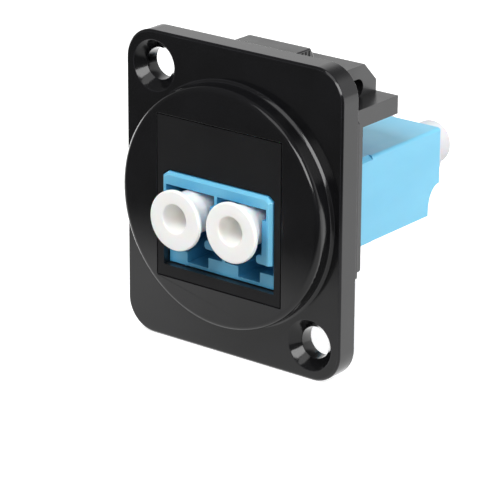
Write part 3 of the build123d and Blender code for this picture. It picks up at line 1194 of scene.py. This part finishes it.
@dataclass
class Studio:
    """A pale floor, an even pale surround and soft lights.

    Attributes:
        floor_height: Height of the floor.
        floor_size: Side of the floor.
        floor_shade: How pale the floor is where it is seen.
        floor_bounce: How pale it is where it throws light back onto the object.
        floor_glow: Light that the floor gives off of itself, which keeps it pale in the shade.
        floor_front: Depth where the mirrored floor's shading starts.
        floor_back: Depth where it ends.
        floor_shares: Stops of that shading: place between the two depths, and share of the strength.
        floor_strength: Strength of the floor in a mirroring face, behind the object.
        floor_left: How much stronger it is to the left than to the right.
        floor_left_end: Distance to the left from which it is that strong.
        surround: Strength of the surround as a light.
        mirrored: Strength of the surround behind the object where a glossy face mirrors it.
        mirrored_front: The same for the surround in front of it.
        rearward: Rearward share of a mirrored direction where the front ends, and where the rear starts.
        upward: Upward share of a mirrored direction where the rear starts to dim, and where it is dim.
        lights: The soft lights.
    """

    floor_height: float = -15.54
    floor_size: float = 3000.0
    floor_shade: float = 0.8
    floor_bounce: float = 0.35
    floor_glow: float = 0.62
    floor_front: float = -60.0
    floor_back: float = 20.0
    floor_shares: tuple[tuple[float, float], ...] = ((0.33, 0.05), (0.48, 0.45), (0.7, 0.5), (0.8, 1.0))
    floor_strength: float = 1.7
    floor_left: float = 1.5
    floor_left_end: float = 20.0
    surround: float = 0.28
    mirrored: float = 1.0
    mirrored_front: float = 0.15
    rearward: tuple[float, float] = (-0.1, 0.5)
    upward: tuple[float, float] = (0.48, 0.68)
    lights: list[SoftBox] = field(
        default_factory=lambda: [
            SoftBox("glint", 44, 27, size=260, power=1.35, matte=False),
            SoftBox("high_glint", 20, 58, size=280, power=0.4, matte=False),
            SoftBox("camera_side_light", 47, 25, size=150, power=0.3, mirrored=False),
            SoftBox("key_light", -10, 50, size=240, power=2.0, mirrored=False),
            SoftBox("right_light", 95, 25, size=300, power=2.1, mirrored=False),
        ]
    )

    def mirrored_floor(self, sheet: NodeSheet) -> bpy.types.Node:
        """Add the floor as glossy faces mirror it: bright near the object, dark away to the front.

        Args:
            sheet: The floor's node tree.

        Returns:
            The emission node.
        """
        axes = sheet.axes("Object")
        start, end = self.floor_front * MM, self.floor_back * MM
        depth = sheet.add("ShaderNodeMapRange", From_Min=start, From_Max=end)
        sheet.join(axes.outputs["Y"], depth.inputs["Value"])
        shading = sheet.add("ShaderNodeValToRGB")
        stops = shading.color_ramp.elements
        while len(stops) < len(self.floor_shares):
            stops.new(0.5)
        for stop, (spot, share) in zip(stops, self.floor_shares):
            stop.position = spot
            stop.color = grey(share)
        sheet.join(depth.outputs[0], shading.inputs["Fac"])
        side = sheet.add(
            "ShaderNodeMapRange",
            From_Min=-self.floor_left_end * MM,
            From_Max=0.0,
            To_Min=self.floor_strength * self.floor_left,
            To_Max=self.floor_strength,
        )
        sheet.join(axes.outputs["X"], side.inputs["Value"])
        glow = sheet.add("ShaderNodeEmission")
        sheet.join(shading.outputs["Color"], glow.inputs["Color"])
        sheet.join(side.outputs[0], glow.inputs["Strength"])
        return glow

    def floor_material(self) -> bpy.types.Material:
        """Make the floor's pale finish, which keeps the object's shadow.

        Returns:
            The material.
        """
        sheet = NodeSheet(bpy.data.materials.new("pale_floor"))
        matte = sheet.add("ShaderNodeBsdfDiffuse", Color=grey(self.floor_shade))
        glow = sheet.add("ShaderNodeEmission", Color=grey(1), Strength=self.floor_glow)
        seen = sheet.add("ShaderNodeAddShader")
        sheet.join(matte.outputs[0], seen.inputs[0])
        sheet.join(glow.outputs[0], seen.inputs[1])
        path = sheet.add("ShaderNodeLightPath")
        bounce = sheet.add("ShaderNodeBsdfDiffuse", Color=grey(self.floor_bounce))
        direct = sheet.add("ShaderNodeMixShader")
        sheet.join(path.outputs[Ray.CAMERA.value], direct.inputs[0])
        sheet.join(bounce.outputs[0], direct.inputs[1])
        sheet.join(seen.outputs[0], direct.inputs[2])
        choice = sheet.add("ShaderNodeMixShader")
        sheet.join(path.outputs[Ray.GLOSSY.value], choice.inputs[0])
        sheet.join(direct.outputs[0], choice.inputs[1])
        sheet.join(self.mirrored_floor(sheet).outputs[0], choice.inputs[2])
        output = sheet.add("ShaderNodeOutputMaterial")
        sheet.join(choice.outputs[0], output.inputs["Surface"])
        return sheet.owner

    def build_floor(self) -> None:
        """Lay the floor."""
        half = self.floor_size / 2
        form = bmesh.new()
        corners = [(-half, -half), (half, -half), (half, half), (-half, half)]
        form.faces.new([form.verts.new(Vector((x, y, self.floor_height)) * MM) for x, y in corners])
        mesh = meshed(form, "floor")
        mesh.materials.append(self.floor_material())
        floor = linked("floor", mesh)

    def build_surround(self) -> None:
        """Make the world: white where it is seen, softer as a light and in mirroring faces."""
        sheet = NodeSheet(bpy.data.worlds.new("pale_surround"))
        bpy.context.scene.world = sheet.owner
        axes = sheet.axes("Generated")
        dimming = sheet.add("ShaderNodeMapRange", To_Min=self.mirrored, To_Max=self.mirrored_front)
        facing = sheet.add("ShaderNodeMapRange", To_Min=self.mirrored_front)
        for ramp, (start, end), axis in ((dimming, self.upward, "Z"), (facing, self.rearward, "Y")):
            ramp.interpolation_type = "SMOOTHSTEP"
            ramp.inputs["From Min"].default_value = start
            ramp.inputs["From Max"].default_value = end
            sheet.join(axes.outputs[axis], ramp.inputs["Value"])
        sheet.join(dimming.outputs[0], facing.inputs["To Max"])
        path = sheet.add("ShaderNodeLightPath")
        unseen = sheet.add("ShaderNodeMapRange", To_Min=self.surround)
        sheet.join(path.outputs[Ray.GLOSSY.value], unseen.inputs["Value"])
        sheet.join(facing.outputs[0], unseen.inputs["To Max"])
        strength = sheet.add("ShaderNodeMapRange", To_Max=1.0)
        sheet.join(path.outputs[Ray.CAMERA.value], strength.inputs["Value"])
        sheet.join(unseen.outputs[0], strength.inputs["To Min"])
        light = sheet.add("ShaderNodeBackground", Color=grey(1))
        sheet.join(strength.outputs[0], light.inputs["Strength"])
        output = sheet.add("ShaderNodeOutputWorld")
        sheet.join(light.outputs[0], output.inputs["Surface"])

    def build(self) -> None:
        """Make the floor, the surround and the lights."""
        self.build_floor()
        self.build_surround()
        for light in self.lights:
            light.build()
        bpy.context.scene.view_settings.view_transform = "Standard"


@dataclass
class FeedThrough:
    """The whole object, dressed piece by piece.

    Attributes:
        nodes: The CAD nodes' objects by name.
        palette: The finishes.
    """

    nodes: dict[str, bpy.types.Object]
    palette: Palette = Palette()

    def adapter_mouldings(self) -> list[Moulding]:
        """List the adapter's two shells and what they hold.

        Returns:
            The mouldings.
        """
        # The second blue is the lighter edge finish, a painted highlight.
        blues = self.palette.shell.build(), self.palette.shell_edge_highlight.build()
        naturals = (self.palette.holder.build(),) * 2
        ceramics = (self.palette.ceramic.build(),) * 2
        return [
            Moulding(
                "adapter_front_shell", "front_shell_moulding", Slot.FRONT_SHELL, *blues,
                edge=0.07, front_chamfer=0.28,
            ),
            Moulding("adapter_rear_shell", "rear_shell_moulding", Slot.REAR_SHELL, *blues, edge=0.09),
            Moulding("sleeve_holder_front", "front_holder_moulding", Slot.HOLDER, *naturals, edge=0.05),
            Moulding("sleeve_holder_rear", "rear_holder_moulding", Slot.HOLDER, *naturals, edge=0.05),
            Moulding("split_sleeve_left", "left_sleeve_ground", Slot.SLEEVE, *ceramics, edge=0.03),
            Moulding("split_sleeve_right", "right_sleeve_ground", Slot.SLEEVE, *ceramics, edge=0.03),
        ]

    def build(self) -> None:
        """Dress every node."""
        frame_blacks = self.palette.frame.build(), self.palette.frame_edge_highlight.build()
        blacks = self.palette.module.build(), self.palette.module_edge_highlight.build()
        frame = Moulding("panel_frame", "frame_moulding", Slot.FRAME, *frame_blacks, edge=0.06)
        module = Moulding(
            "keystone_module", "module_moulding", Slot.MODULE, *blacks,
            edge=0.08, front_finish=self.palette.module_front.build(), cut_above=11.51,
        )
        for moulding in (frame, module, *self.adapter_mouldings()):
            moulding.build(self.nodes[moulding.node])
        FingerLever().build(*blacks)
        white = self.palette.cap.build()
        FrontCap().build("front_dust_cap_left", Body.FRONT_LEFT, white)
        FrontCap().build("front_dust_cap_right", Body.FRONT_RIGHT, white)
        # Painted shade: the rear caps take a greyer white than the front ones.
        shaded_white = self.palette.shaded_rear_cap.build()
        RearCap().build("rear_dust_cap_left", Body.REAR_LEFT, shaded_white)
        RearCap().build("rear_dust_cap_right", Body.REAR_RIGHT, shaded_white)


def main() -> None:
    """Load the solids, dress them and light them."""
    logging.basicConfig(level=logging.INFO, format="%(message)s")
    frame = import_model()
    FeedThrough(frame["nodes"]).build()
    Studio().build()
    PhotoCamera().build()


if __name__ == "__main__":
    main()
